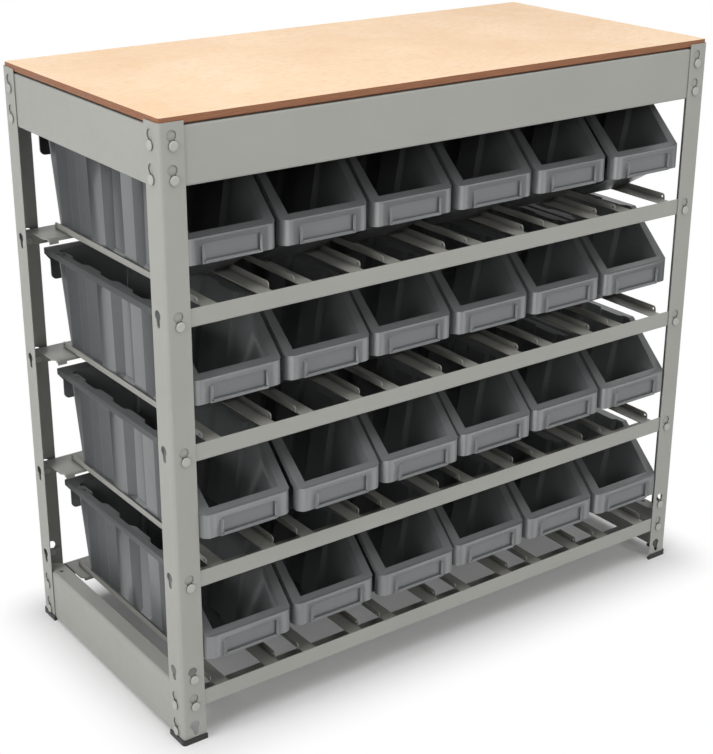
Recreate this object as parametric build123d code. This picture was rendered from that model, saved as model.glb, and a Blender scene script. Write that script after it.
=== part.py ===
from build123d import *
import os

# Open-fronted storage rack: a punched angle frame, a worktop and 24 plastic parts bins
# on rails. Millimetres. X is the width (to the right), Y the depth (to the rear), Z up.
# The pieces are drawn about the middle of the posts, then moved by SHIFT_Y, so that the
# origin is on the floor in the middle of everything, with the bins that stand out in
# front of the posts counted in.

# ---- overall size -------------------------------------------------------
WIDTH = 932.0            # over the outside of the posts
DEPTH = 436.0
POST_TOP = 862.0

# ---- sheet steel and posts ----------------------------------------------
SHEET = 1.5              # posts and beams
LEG = 35.0               # leg of the post angle
POST_BEND = 5.0          # outer bend radius
HOLE_INSET = 19.5        # keyhole column, from the post's outside edge
KEY_RISE = 14.8          # round mouth above the rivet seat
KEY_LEAN = 2.5           # round mouth to the side of the seat
KEY_R = 6.5
SEAT_R = 4.0

# ---- foot caps ----------------------------------------------------------
SOLE = 2.0
CAP_WALL = 1.5
CAP_HEIGHT = 8.0
CAP_LIP = 4.5            # the low wall inside the angle

# ---- rivets -------------------------------------------------------------
SHANK_R = 3.8
RIVET_BORE_R = 3.9
HEAD_R = 6.3
HEAD_HEIGHT = 2.4
HEAD_ROUND = 1.4
TAIL_R = 5.2
TAIL_HEIGHT = 1.2

# ---- rows ---------------------------------------------------------------
ROWS = 4
COLUMNS = 6
ROW_PITCH = 183.2
BOTTOM_RIVET = 56.8      # rivet height of the lowest row beam
LUG_RIVET = 99.1         # second rivet of the lowest row beam
FOOT_RIVET = 14.6        # lower rivet of the bottom side beams
BEAM_FACE = 25.0         # height of a row beam
BEAM_RIVET_DROP = 19.5   # rivet below the row beam's top edge
LUG_TOP = 105.0          # the lowest row beam's ends reach up to here
FRONT_SHELF = 44.0       # depth of the front beam's lower flange
REAR_SHELF = 63.0        # depth of the rear beam's upper flange
REAR_LIP = 5.0           # turned-down edge of the rear flange
TAB_WIDTH = 14.0
TAB_DROP = 4.0
SHELF_SETBACK = 16.0     # rear shelf ends, from the outside of the posts
CLEAR_SETBACK = 26.0     # front shelf ends, clear of the rivets' tails
LOW_SETBACK = 37.0       # shelf ends of the lowest row, beside the side beams
FACE_SETBACK = 7.0       # beam face ends, from the outside of the posts
LUG_INSET = 3.0          # the lugs stand in this much from the post's leg

# ---- deep beams at the top and at the bottom sides ----------------------
DEEP_BEAM = 75.0
BOARD_SEAT = 856.2       # top of the upper beams
TOP_RIVETS = (791.2, 833.2)
TOP_FLANGE = 25.0
LOW_FLANGE = 10.0        # lower flange of the upper beams
FLANGE_GAP = 1.0         # between flanges that meet at a corner
SIDE_BEAM_BOTTOM = 6.0
SIDE_BEAM_TOP = 86.0
SIDE_BEND = 5.0
SIDE_END_SETBACK = 8.0
SIDE_HOLE_R = 3.0
SIDE_HOLE_INSET = 34.0   # from the end of the flange
SIDE_CHAMFER = 14.0

# ---- worktop ------------------------------------------------------------
BOARD = 11.4
BOARD_PLAY = 0.3
BOARD_CORNER = 4.0

# ---- bins ---------------------------------------------------------------
# Widths follow the rack's width, and lengths its depth.
CELL_MARGIN = 32.8       # post's outside to the first bin's cell
BIN_PITCH = (WIDTH - 2 * CELL_MARGIN) / COLUMNS
BIN_WIDTH = BIN_PITCH - 7.4
BASE_WIDTH = BIN_WIDTH - 39.0
TUB_TOP_WIDTH = BIN_WIDTH - 15.0
BIN_PLAY = 0.4           # under the bin's base
BIN_HEIGHT = 153.0
BIN_FRONT = DEPTH / 2 + 4.0      # plate face in front of the rack's middle
BIN_REAR = DEPTH / 2 - 21.0      # rim end behind it
TUB_REAR = BIN_REAR - 21.0
WALL = 2.5
CUT_START = BIN_FRONT - 78.0     # where the side walls begin to drop
LIP_FRONT = BIN_FRONT - 6.0
LIP_HEIGHT = 84.0
SILL_Y = BIN_FRONT - 17.0
SILL_HEIGHT = 50.0
TOE_Y = BIN_FRONT - 98.0
TUB_CORNER = 12.0
SKIRT = 9.0
SKIRT_REACH = 30.0       # below the skirt, cleared between its two walls
APRON_BOTTOM = 50.0
APRON_RETURN = 16.0
APRON_CORNER = 12.0
LABEL_WIDTH = BIN_WIDTH - 49.0
LABEL_RIB = 2.6
LABEL_DEPTH = 2.4
LABEL_HEIGHT = 24.0
HANGER_WIDTH = BIN_WIDTH - 17.0
HANGER_DROP = 50.0
HANGER_SHOULDER = 20.0   # where the hanger reaches its own width, below the rim
HANGER_CORNER = 8.0
CUT_OVER = 10.0          # cutters reach this far past a surface

# How far each bin is pushed back from its usual place, row by row, from the left.
PUSHED = [
    [18.0, 17.5, 18.0, 16.5, 15.5, 8.0],
    [9.0, 10.0, 14.0, 14.0, 13.5, 13.5],
    [-6.5, -15.0, -11.0, -5.5, -1.0, 0.0],
    [-5.0, -2.0, -7.5, -1.0, -0.5, -1.0],
]

# ---- rails --------------------------------------------------------------
RAIL_SHEET = 1.2
RAIL_GAUGE = BASE_WIDTH + 6.0    # clear width between the two guides of a bin
RAIL_HEIGHT = 10.0
RAIL_BASE = 23.0
GUIDE_SETBACK = 13.2     # guide front end, behind the post's outside face
RAIL_REAR = 21.7         # rear end, from the rack's rear face
RAIL_CORNER = 5.0
RAIL_HOLE_R = 1.9
RAIL_HOLE_INSET = 5.0
RAIL_TAB = 18.0          # turned-down front end on the back of the beam

# ---- worked out ---------------------------------------------------------
HALF_W, HALF_D = WIDTH / 2, DEPTH / 2
FRONT_IN = HALF_D - SHEET            # inner face of a front or rear leg
SIDE_IN = HALF_W - SHEET             # inner face of a side leg
ROW_RIVETS = [BOTTOM_RIVET + ROW_PITCH * (ROWS - 1 - i) for i in range(ROWS)]
ROW_TOPS = [z + BEAM_RIVET_DROP for z in ROW_RIVETS]
FRONT_KEYS = [FOOT_RIVET, LUG_RIVET, *ROW_RIVETS, *TOP_RIVETS]
CENTRES = [(i - (COLUMNS - 1) / 2) * BIN_PITCH for i in range(COLUMNS)]
OUT_FRONT = BIN_FRONT + LABEL_DEPTH - min(min(row) for row in PUSHED)
OUT_REAR = HALF_D + HEAD_HEIGHT
SHIFT_Y = (OUT_FRONT - OUT_REAR) / 2


def block(x0, x1, y0, y1, z0, z1):
    """A box from its limits."""
    low = [min(a, b) for a, b in ((x0, x1), (y0, y1), (z0, z1))]
    high = [max(a, b) for a, b in ((x0, x1), (y0, y1), (z0, z1))]
    size = [b - a for a, b in zip(low, high)]
    return Pos(*[(a + b) / 2 for a, b in zip(low, high)]) * Box(*size)


def prism(points, plane, amount):
    """A closed outline on a plane, pulled along the plane's normal."""
    return extrude(plane * make_face(Polyline(*points, close=True)), amount)


def side_prism(points, half):
    """An outline of (y, z) points, as wide as 2 * half about x = 0."""
    plane = Plane(origin=(-half, 0, 0), x_dir=(0, 1, 0), z_dir=(1, 0, 0))
    return prism(points, plane, 2 * half)


def front_prism(points, y0, y1):
    """An outline of (x, z) points, from y0 to y1."""
    plane = Plane(origin=(0, y1, 0), x_dir=(1, 0, 0), z_dir=(0, -1, 0))
    return prism(points, plane, y1 - y0)


def plan_prism(points, z0, z1):
    """An outline of (x, y) points, from z0 to z1."""
    return prism(points, Plane.XY.offset(z0), z1 - z0)


def round_bar(centre, axis, radius, start, end):
    """A cylinder along axis "x" or "y", from start to end."""
    turn = Rot(0, 90, 0) if axis == "x" else Rot(90, 0, 0)
    x, y, z = centre
    middle = (start + end) / 2
    place = Pos(middle, y, z) if axis == "x" else Pos(x, middle, z)
    return place * turn * Cylinder(radius, abs(end - start))


def upright_edges(shape):
    return shape.edges().filter_by(Axis.Z)


# ---- posts --------------------------------------------------------------
def keyhole(axis, across, z, wall, lean):
    """A round mouth over a rivet seat, cut through a wall at +-SHEET."""
    start, end = wall - 2 * SHEET, wall + 2 * SHEET
    steps = 5
    cutter = None
    for i in range(steps + 1):
        share = i / steps
        radius = KEY_R if i == steps else SEAT_R
        shift, rise = lean * share, KEY_RISE * share
        centre = (across + shift, 0, z + rise) if axis == "y" else (0, across + shift, z + rise)
        bar = round_bar(centre, axis, radius, start, end)
        cutter = bar if cutter is None else cutter + bar
    return cutter


def angle_bar(sx, sy, z0, z1):
    """The post's bent angle at the corner (sx, sy), from z0 to z1."""
    ox, oy = sx * HALF_W, sy * HALF_D
    section = [
        (ox, oy),
        (ox - sx * LEG, oy),
        (ox - sx * LEG, oy - sy * SHEET),
        (ox - sx * SHEET, oy - sy * SHEET),
        (ox - sx * SHEET, oy - sy * LEG),
        (ox, oy - sy * LEG),
    ]
    angle = plan_prism(section, z0, z1)
    middle = (z0 + z1) / 2
    outer = upright_edges(angle).sort_by_distance((ox, oy, middle))[0]
    angle = fillet([outer], POST_BEND)
    inner = upright_edges(angle).sort_by_distance((ox - sx * SHEET, oy - sy * SHEET, middle))[0]
    return fillet([inner], POST_BEND - SHEET)


def post(sx, sy):
    """A punched angle at the corner (sx, sy)."""
    angle = angle_bar(sx, sy, SOLE, POST_TOP)
    for z in FRONT_KEYS:
        angle -= keyhole("y", sx * (HALF_W - HOLE_INSET), z, sy * (HALF_D - SHEET / 2), KEY_LEAN)
        angle -= keyhole("x", sy * (HALF_D - HOLE_INSET), z, sx * (HALF_W - SHEET / 2), KEY_LEAN)
    return angle


def foot_cap(sx, sy):
    """A plastic shoe: a sole, an outer wall and a low lip inside the angle."""
    out, inn = CAP_WALL, SHEET + CAP_WALL
    reach = LEG + CAP_WALL

    def ell(outside, inside, z0, z1):
        ox, oy = sx * (HALF_W + outside), sy * (HALF_D + outside)
        ix, iy = sx * (HALF_W - inside), sy * (HALF_D - inside)
        ex, ey = sx * (HALF_W - reach), sy * (HALF_D - reach)
        points = [(ox, oy), (ex, oy), (ex, iy), (ix, iy), (ix, ey), (ox, ey)]
        return plan_prism(points, z0, z1)

    shoe = ell(out, inn, 0, CAP_HEIGHT) - ell(0, inn, CAP_LIP, CAP_HEIGHT)
    shoe -= angle_bar(sx, sy, SOLE, CAP_HEIGHT + 1)
    corner = (sx * (HALF_W + out), sy * (HALF_D + out), CAP_HEIGHT / 2)
    return fillet([upright_edges(shoe).sort_by_distance(corner)[0]], POST_BEND)


# ---- beams --------------------------------------------------------------
def bore(shape, axis, spots, wall):
    for spot in spots:
        shape -= round_bar(spot, axis, RIVET_BORE_R, wall - 2 * SHEET, wall + 2 * SHEET)
    return shape


def end_spots(heights, sy):
    """Rivet places at both ends of a front or rear beam."""
    x = HALF_W - HOLE_INSET
    return [(side * x, sy * FRONT_IN, z) for side in (-1, 1) for z in heights]


def row_beam(row, sy):
    """An angle along X: its shelf is low at the front and high at the rear."""
    top = ROW_TOPS[row]
    lowest = row == ROWS - 1
    face_half = HALF_W - FACE_SETBACK
    setback = CLEAR_SETBACK if sy < 0 else SHELF_SETBACK
    shelf_half = HALF_W - (LOW_SETBACK if lowest else setback)
    y_out, y_in = sy * FRONT_IN, sy * (FRONT_IN - SHEET)
    if sy < 0:
        shelf_z = top - BEAM_FACE
        beam = block(-face_half, face_half, y_out, y_in, shelf_z, top)
        y_end = sy * (FRONT_IN - FRONT_SHELF)
        beam += block(-shelf_half, shelf_half, y_out, y_end, shelf_z, shelf_z + SHEET)
    else:
        seat = top - RAIL_SHEET
        beam = block(-face_half, face_half, y_out, y_in, seat - BEAM_FACE, seat)
        y_end = sy * (FRONT_IN - REAR_SHELF)
        beam += block(-shelf_half, shelf_half, y_out, y_end, seat - SHEET, seat)
        beam += block(-shelf_half, shelf_half, y_end, y_end + SHEET, seat - REAR_LIP, seat)
        if not lowest:
            for side in (-1, 1):
                tab = side * (HALF_W - SHELF_SETBACK - TAB_WIDTH)
                low = seat - REAR_LIP - TAB_DROP
                beam += block(tab, tab - side * TAB_WIDTH, y_end, y_end + SHEET, low, seat)
    heights = [ROW_RIVETS[row]]
    if lowest:
        heights.append(LUG_RIVET)
        for side in (-1, 1):
            lug_in = side * (HALF_W - LEG + LUG_INSET)
            beam += block(side * face_half, lug_in, y_out, y_in, top - BEAM_FACE, LUG_TOP)
    return bore(beam, "y", end_spots(heights, sy), sy * FRONT_IN)


def top_beam_long(sy):
    """A channel under the worktop's front or rear edge."""
    half = HALF_W - FACE_SETBACK
    z0 = BOARD_SEAT - DEEP_BEAM
    y_out, y_in = sy * FRONT_IN, sy * (FRONT_IN - SHEET)
    y_end = sy * (FRONT_IN - TOP_FLANGE)
    beam = block(-half, half, y_out, y_in, z0, BOARD_SEAT)
    beam += block(-half, half, y_out, y_end, BOARD_SEAT - SHEET, BOARD_SEAT)
    flange_half = HALF_W - LEG - FLANGE_GAP
    y_low = sy * (FRONT_IN - LOW_FLANGE)
    beam += block(-flange_half, flange_half, y_out, y_low, z0, z0 + SHEET)
    return bore(beam, "y", end_spots(TOP_RIVETS, sy), sy * FRONT_IN)


def side_spots(heights, sx):
    y = HALF_D - HOLE_INSET
    return [(sx * SIDE_IN, side * y, z) for side in (-1, 1) for z in heights]


def top_beam_side(sx):
    """A channel under the worktop's left or right edge."""
    half = HALF_D - SIDE_END_SETBACK
    z0 = BOARD_SEAT - DEEP_BEAM
    x_out, x_in = sx * SIDE_IN, sx * (SIDE_IN - SHEET)
    beam = block(x_out, x_in, -half, half, z0, BOARD_SEAT)
    run = FRONT_IN - TOP_FLANGE - FLANGE_GAP
    x_top, x_low = sx * (SIDE_IN - TOP_FLANGE), sx * (SIDE_IN - LOW_FLANGE)
    beam += block(x_out, x_top, -run, run, BOARD_SEAT - SHEET, BOARD_SEAT)
    beam += block(x_out, x_low, -run, run, z0, z0 + SHEET)
    return bore(beam, "x", side_spots(TOP_RIVETS, sx), sx * SIDE_IN)


def bottom_side_beam(sx):
    """A deep angle at the foot of the left or right side, with its shelf on top."""
    half = HALF_D - SIDE_END_SETBACK
    x_out, x_in = sx * SIDE_IN, sx * (SIDE_IN - SHEET)
    x_end = sx * (SIDE_IN - TOP_FLANGE)
    beam = block(x_out, x_in, -half, half, SIDE_BEAM_BOTTOM, SIDE_BEAM_TOP)
    shelf = [
        (x_out, -half),
        (x_end + sx * SIDE_CHAMFER, -half),
        (x_end, -half + SIDE_CHAMFER),
        (x_end, half - SIDE_CHAMFER),
        (x_end + sx * SIDE_CHAMFER, half),
        (x_out, half),
    ]
    beam += plan_prism(shelf, SIDE_BEAM_TOP - SHEET, SIDE_BEAM_TOP)
    edges = beam.edges().filter_by(Axis.Y)
    beam = fillet([edges.sort_by_distance((x_out, 0, SIDE_BEAM_TOP))[0]], SIDE_BEND)
    edges = beam.edges().filter_by(Axis.Y)
    beam = fillet([edges.sort_by_distance((x_in, 0, SIDE_BEAM_TOP - SHEET))[0]], SIDE_BEND - SHEET)
    for side in (-1, 1):
        spot = Pos(x_end + sx * TOP_FLANGE / 2, side * (half - SIDE_HOLE_INSET), SIDE_BEAM_TOP)
        beam -= spot * Cylinder(SIDE_HOLE_R, 4 * SHEET)
    return bore(beam, "x", side_spots((FOOT_RIVET, BOTTOM_RIVET), sx), sx * SIDE_IN)


# ---- rivets -------------------------------------------------------------
def rivet(axis, spot, sign):
    """A round head outside the post, a shank and a flat tail behind the beam."""
    face = (HALF_W if axis == "x" else HALF_D) * sign
    back = face - sign * 2 * SHEET
    head = round_bar(spot, axis, HEAD_R, face, face + sign * HEAD_HEIGHT)
    rims = head.edges().filter_by(GeomType.CIRCLE)
    along = Axis.X if axis == "x" else Axis.Y
    rim = rims.sort_by(along)[-1 if sign > 0 else 0]
    head = fillet([rim], HEAD_ROUND)
    body = head + round_bar(spot, axis, SHANK_R, face, back)
    return body + round_bar(spot, axis, TAIL_R, back, back - sign * TAIL_HEIGHT)


def rivets_along_y(sy):
    heights = [*ROW_RIVETS, LUG_RIVET, *TOP_RIVETS]
    return [rivet("y", spot, sy) for spot in end_spots(heights, sy)]


def rivets_along_x():
    heights = (FOOT_RIVET, BOTTOM_RIVET, *TOP_RIVETS)
    return [rivet("x", spot, sx) for sx in (-1, 1) for spot in side_spots(heights, sx)]


# ---- rails --------------------------------------------------------------
def rail(centre, side, row):
    """One guide angle of a bin: a flat base towards the bin and an upright guide."""
    z = ROW_TOPS[row] - RAIL_SHEET
    inner = centre + side * RAIL_GAUGE / 2
    outer = inner + side * RAIL_SHEET
    free = outer - side * RAIL_BASE
    y_back = HALF_D - RAIL_REAR
    y_beam = -(FRONT_IN - SHEET)
    y_guide = -(HALF_D - GUIDE_SETBACK)
    base = block(free, outer, y_beam, y_back, z, z + RAIL_SHEET)
    guide = block(inner, outer, y_guide, y_back, z, z + RAIL_HEIGHT)
    corners = guide.edges().filter_by(Axis.X).group_by(Axis.Z)[-1]
    guide = fillet(corners, RAIL_CORNER)
    hole_z = z + RAIL_HEIGHT - RAIL_HOLE_INSET
    for y in (y_guide + RAIL_HOLE_INSET, y_back - RAIL_HOLE_INSET):
        guide -= round_bar((0, y, hole_z), "x", RAIL_HOLE_R, outer + side, inner - side)
    tab = block(free, outer, y_beam, y_beam + RAIL_SHEET, z - RAIL_TAB, z + RAIL_SHEET)
    return base + guide + tab


def rails(row):
    return [rail(c, side, row) for c in CENTRES for side in (-1, 1)]


# ---- worktop ------------------------------------------------------------
def worktop():
    x, y = SIDE_IN - BOARD_PLAY, FRONT_IN - BOARD_PLAY
    board = block(-x, x, -y, y, BOARD_SEAT, BOARD_SEAT + BOARD)
    return fillet(board.edges().filter_by(Axis.Z), BOARD_CORNER)


# ---- bins ---------------------------------------------------------------
def tub_block(profile, base_half, top_half, corner):
    """The profile in (y, z), narrowed towards the base, with its corners rounded."""
    rise = BIN_HEIGHT + 2 * CUT_OVER
    slope = (top_half - base_half) / BIN_HEIGHT
    wide = base_half + slope * rise
    section = [(-base_half, 0), (base_half, 0), (wide, rise), (-wide, rise)]
    body = side_prism(profile, BIN_WIDTH) & front_prism(section, -2 * DEPTH, 2 * DEPTH)
    rear = [e for e in body.edges() if e.center().Y > TUB_REAR - 2 * WALL and e.length > SILL_HEIGHT
            and abs(e.center().X) > base_half / 2]
    return fillet(rear, corner)


def band(depth):
    """The strip under the rim's top line, depth deep, as (y, z) points."""
    run, drop = LIP_FRONT - CUT_START, BIN_HEIGHT - LIP_HEIGHT
    length = (run**2 + drop**2) ** 0.5
    shift = depth * (length - run) / drop
    top = [(BIN_REAR, BIN_HEIGHT), (-CUT_START, BIN_HEIGHT), (-LIP_FRONT, LIP_HEIGHT)]
    foot_y = -LIP_FRONT + depth * length / drop
    below = BIN_HEIGHT - depth
    low = [(foot_y, LIP_HEIGHT), (-CUT_START + shift, below), (BIN_REAR, below)]
    return top + low


def bin_shape():
    """One bin about x = 0 with its base on z = 0."""
    half = BIN_WIDTH / 2
    outside = [
        (TUB_REAR, 0),
        (TUB_REAR, BIN_HEIGHT),
        (-CUT_START, BIN_HEIGHT),
        (-LIP_FRONT, LIP_HEIGHT),
        (-SILL_Y, SILL_HEIGHT),
        (-TOE_Y, 0),
    ]
    inside = [
        (TUB_REAR - WALL, WALL),
        (TUB_REAR - WALL, BIN_HEIGHT + CUT_OVER),
        (-SILL_Y + WALL, BIN_HEIGHT + CUT_OVER),
        (-SILL_Y + WALL, SILL_HEIGHT + WALL),
        (-TOE_Y + WALL, WALL),
    ]
    cavity = tub_block(inside, BASE_WIDTH / 2 - WALL, TUB_TOP_WIDTH / 2 - WALL, TUB_CORNER - WALL)
    body = tub_block(outside, BASE_WIDTH / 2, TUB_TOP_WIDTH / 2, TUB_CORNER)
    body += side_prism(band(WALL), half)
    body += side_prism(band(SKIRT), half) - side_prism(band(SKIRT + SKIRT_REACH), half - WALL)

    front_y = -BIN_FRONT
    apron = block(-half, half, front_y, front_y + APRON_RETURN, APRON_BOTTOM, LIP_HEIGHT)
    apron = fillet(upright_edges(apron).group_by(Axis.Y)[0], APRON_CORNER)
    hollow = block(-half + WALL, half - WALL, front_y + WALL, front_y + APRON_RETURN,
                   APRON_BOTTOM, LIP_HEIGHT - WALL)
    hollow = fillet(upright_edges(hollow).group_by(Axis.Y)[0], APRON_CORNER - WALL)
    body += apron - hollow

    z0, x0, rib_y = APRON_BOTTOM, LABEL_WIDTH / 2, front_y - LABEL_DEPTH
    for side in (-1, 1):
        x = side * x0
        body += block(x, x - side * LABEL_RIB, rib_y, front_y, z0, z0 + LABEL_HEIGHT)
    body += block(-x0, x0, rib_y, front_y, z0, z0 + LABEL_RIB)

    narrow, low_z = HANGER_WIDTH / 2, BIN_HEIGHT - HANGER_DROP
    shoulder = BIN_HEIGHT - HANGER_SHOULDER
    side = [(half, BIN_HEIGHT), (half, BIN_HEIGHT - SKIRT), (narrow, shoulder), (narrow, low_z)]
    outline = side + [(-x, z) for x, z in reversed(side)]
    hanger = front_prism(outline, BIN_REAR - WALL, BIN_REAR)
    low = hanger.edges().filter_by(Axis.Y).group_by(Axis.Z)[0]
    body += fillet(low, HANGER_CORNER)
    body -= cavity
    return body


# ---- the parts ----------------------------------------------------------
os.makedirs("parts", exist_ok=True)


def save(name, shape):
    """Write one sub-part; a list is written as a group of solids."""
    if isinstance(shape, list):
        shape = Compound(children=shape)
    export_step(Pos(0, SHIFT_Y, 0) * shape, f"parts/{name}.step")


for y_name, sy in (("front", -1), ("rear", 1)):
    for x_name, sx in (("left", -1), ("right", 1)):
        save(f"post_{y_name}_{x_name}", post(sx, sy))
        save(f"foot_cap_{y_name}_{x_name}", foot_cap(sx, sy))
    save(f"top_beam_{y_name}", top_beam_long(sy))
    save(f"rivets_{y_name}", rivets_along_y(sy))
    for row in range(ROWS):
        save(f"row_beam_{y_name}_{row + 1}", row_beam(row, sy))

for x_name, sx in (("left", -1), ("right", 1)):
    save(f"top_beam_{x_name}", top_beam_side(sx))
    save(f"bottom_beam_{x_name}", bottom_side_beam(sx))
save("rivets_sides", rivets_along_x())
save("worktop", worktop())

one_bin = bin_shape()
for row in range(ROWS):
    save(f"rails_row_{row + 1}", rails(row))
    base_z = ROW_TOPS[row] + BIN_PLAY
    for column, x in enumerate(CENTRES):
        place = Pos(x, PUSHED[row][column], base_z)
        save(f"bin_r{row + 1}_c{column + 1}", place * one_bin)
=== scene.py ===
import math

import bmesh
import bpy
from mathutils import Matrix, Vector


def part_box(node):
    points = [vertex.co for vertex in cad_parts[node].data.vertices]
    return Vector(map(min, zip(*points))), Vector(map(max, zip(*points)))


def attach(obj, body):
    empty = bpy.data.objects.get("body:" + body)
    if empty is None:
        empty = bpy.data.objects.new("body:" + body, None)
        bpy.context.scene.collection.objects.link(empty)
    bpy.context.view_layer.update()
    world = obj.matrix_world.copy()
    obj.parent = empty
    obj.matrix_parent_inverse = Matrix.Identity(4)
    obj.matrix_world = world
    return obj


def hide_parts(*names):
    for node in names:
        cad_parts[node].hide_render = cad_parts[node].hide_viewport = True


# Parts bin cabinet: a punched angle rack with a board on top and four rows of bins.
# Sizes are in millimetres about the middle of the posts, as in the part's source.
# A piece is moved back by the rack's middle and turned into metres when it is placed.

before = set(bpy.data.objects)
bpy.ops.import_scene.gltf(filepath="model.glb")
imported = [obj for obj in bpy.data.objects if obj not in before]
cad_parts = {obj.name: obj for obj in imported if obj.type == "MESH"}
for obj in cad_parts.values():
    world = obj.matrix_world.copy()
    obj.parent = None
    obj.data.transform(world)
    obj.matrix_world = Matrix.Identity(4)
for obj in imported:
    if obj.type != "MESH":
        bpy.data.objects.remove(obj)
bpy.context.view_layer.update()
MM = 0.001
RACK_Y = sum(corner.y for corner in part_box("worktop")) / 2 / MM
ROWS, COLUMNS = 4, 6

# ---- sizes --------------------------------------------------------------
# Posts: folded steel angle on moulded shoes.
WIDTH, DEPTH, POST_TOP = 932.0, 436.0, 862.0
HALF_W, HALF_D = WIDTH / 2, DEPTH / 2
SHEET = 1.5
FRONT_IN, SIDE_IN = HALF_D - SHEET, HALF_W - SHEET
LEG, POST_BEND, SOLE = 35.0, 5.0, 2.0

# Keyholes: a seat for the rivet, and a round mouth above it that leans to one side.
HOLE_INSET, KEY_RISE, KEY_R, SEAT_R = 19.5, 12.6, 6.9, 4.0
FRONT_LEAN, SIDE_LEAN = -2.0, 1.2
MOUTH_OPENING = 34.0     # half the angle that the mouth leaves open to the seat, degrees

# Rivets: their heights on the posts, and the sizes of one rivet.
ROW_PITCH, BOTTOM_RIVET, LUG_RIVET, FOOT_RIVET = 183.2, 56.8, 99.1, 14.6
TOP_RIVETS = (791.2, 833.2)
ROW_RIVETS = [BOTTOM_RIVET + ROW_PITCH * (ROWS - 1 - i) for i in range(ROWS)]
HEAD_R, HEAD_HEIGHT, SHANK_R, TAIL_R, TAIL_HEIGHT = 6.45, 2.4, 3.7, 5.3, 1.2

# Row beams: an angle in front, a lipped angle at the rear with a tab at each end.
ROW_TOPS = [z + 19.5 for z in ROW_RIVETS]
BEAM_FACE, BEAM_BEND, BEAM_CHAMFER = 25.0, 3.0, 6.0
FRONT_SHELF, REAR_SHELF, REAR_LIP = 44.0, 63.0, 5.0
FACE_SETBACK, SHELF_SETBACK, CLEAR_SETBACK, LOW_SETBACK = 7.0, 16.0, 26.0, 37.0
TAB_WIDTH, TAB_DROP, TAB_INSET = 14.0, 4.0, 6.5
LUG_TOP, LUG_INSET, LUG_RISE = 105.0, 3.0, 8.0

# Deep beams: under the board all round, and at the foot of both sides.
DEEP_BEAM, BOARD_SEAT, TOP_FLANGE, LOW_FLANGE = 75.0, 856.2, 25.0, 10.0
SIDE_BEAM_BOTTOM, SIDE_BEAM_TOP, SIDE_BEND, SIDE_END = 6.0, 86.0, 5.0, 8.0
CORNER_CUT, FLANGE_HOLE_R, FLANGE_HOLE_INSET = 14.0, 3.0, 34.0
EDGE_ROUND = 0.3

# Worktop board.
BOARD, BOARD_GAP, BOARD_STEP, BOARD_PLAY, BOARD_CORNER = 11.4, 2.4, 5.0, 0.3, 4.0

# Rails: an angle beside each side of a bin.
RAIL_SHEET, RAIL_HEIGHT, RAIL_BASE, RAIL_TAB = 1.2, 10.0, 23.0, 18.0
RAIL_GAUGE, RAIL_BEND, RAIL_ROUND, RAIL_HOLE_R, RAIL_EDGE = 104.0, 1.4, 5.0, 1.9, 0.22
RAIL_FRONT, RAIL_BACK = -(HALF_D - 13.2), HALF_D - 21.7

# Bins: measured from the base and about the bin's own middle.
BIN_PITCH = 144.4
CENTRES = [(i - (COLUMNS - 1) / 2) * BIN_PITCH for i in range(COLUMNS)]
BIN_HEIGHT, WALL, BASE_HALF, TOP_HALF = 153.0, 2.5, 49.0, 61.0
PLATE_Y, BIN_REAR = -222.0, 197.0
LIP_Z, SILL_Z = 84.0, 50.0
LABEL_HALF, LABEL_RIB, LABEL_PROUD, LABEL_DEEP, LABEL_HEIGHT = 44.0, 2.6, 2.4, 1.1, 26.0
BULGES = ((96.0, 54.0), (10.0, 60.0), (-78.0, 56.0))              # rear edge, length
BULGE_DEPTH = 6.0
WIDE_FLUTES = ((8.0, 21.0, 27.0, 8.0), (-79.0, 19.0, 24.0, 7.0))  # rear, slope, flat, back
SMALL_FLUTES = ((143.0, 36.0), (107.0, 25.0), (82.0, 34.0))       # rear edge, width
WIDE_DEPTH, SMALL_DEPTH = 6.0, 2.0
PAD_X, PAD_Y = (53.0, 67.0), (134.0, 162.0)
RIM_HOLE_X, RIM_HOLE_Y = (54.0, 62.0), (144.5, 155.0)
BIN_EDGE = 0.45


# ---- camera -------------------------------------------------------------
def aim_camera():
    """The photograph's own viewpoint, solved from the rack's corners."""
    pitch, roll, yaw = 0.3730, 0.0034, 0.6260
    eye = Vector((-1312.41, -1776.32 + RACK_Y, 1269.20)) * MM
    image_width, image_height = 713, 754
    focal_length, middle_x, middle_y = 1539.82, 352.32, 350.40      # in pixels
    forward = Vector((math.sin(yaw) * math.cos(pitch), math.cos(yaw) * math.cos(pitch),
                      -math.sin(pitch)))
    level = Vector((math.cos(yaw), -math.sin(yaw), 0))
    upright = level.cross(forward)
    right = math.cos(roll) * level + math.sin(roll) * upright
    up = -math.sin(roll) * level + math.cos(roll) * upright
    data = bpy.data.cameras.new("camera")
    data.sensor_fit = "VERTICAL"
    data.sensor_height = 36
    data.lens = focal_length * data.sensor_height / image_height
    data.shift_x = (image_width / 2 - middle_x) / image_height
    data.shift_y = (middle_y - image_height / 2) / image_height
    camera = bpy.data.objects.new("camera", data)
    turn = Matrix((right, up, -forward)).transposed().to_4x4()
    camera.matrix_world = Matrix.Translation(eye) @ turn
    bpy.context.scene.collection.objects.link(camera)
    bpy.context.scene.camera = camera


aim_camera()
bpy.context.scene.view_settings.view_transform = "Standard"


# ---- finishes -----------------------------------------------------------
# Colour of the painted shade where surfaces meet closely.
CREVICE_SHADE = (0.012, 0.012, 0.011, 1)
CLOUD_SCALE, PEEL_SCALE, GRAIN_SCALE, PLASTIC_GRAIN = 9, 420, 1400, 1600
CREVICE_REACH, CREVICE_SHADE_SHARE = 0.006, 0.62


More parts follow.
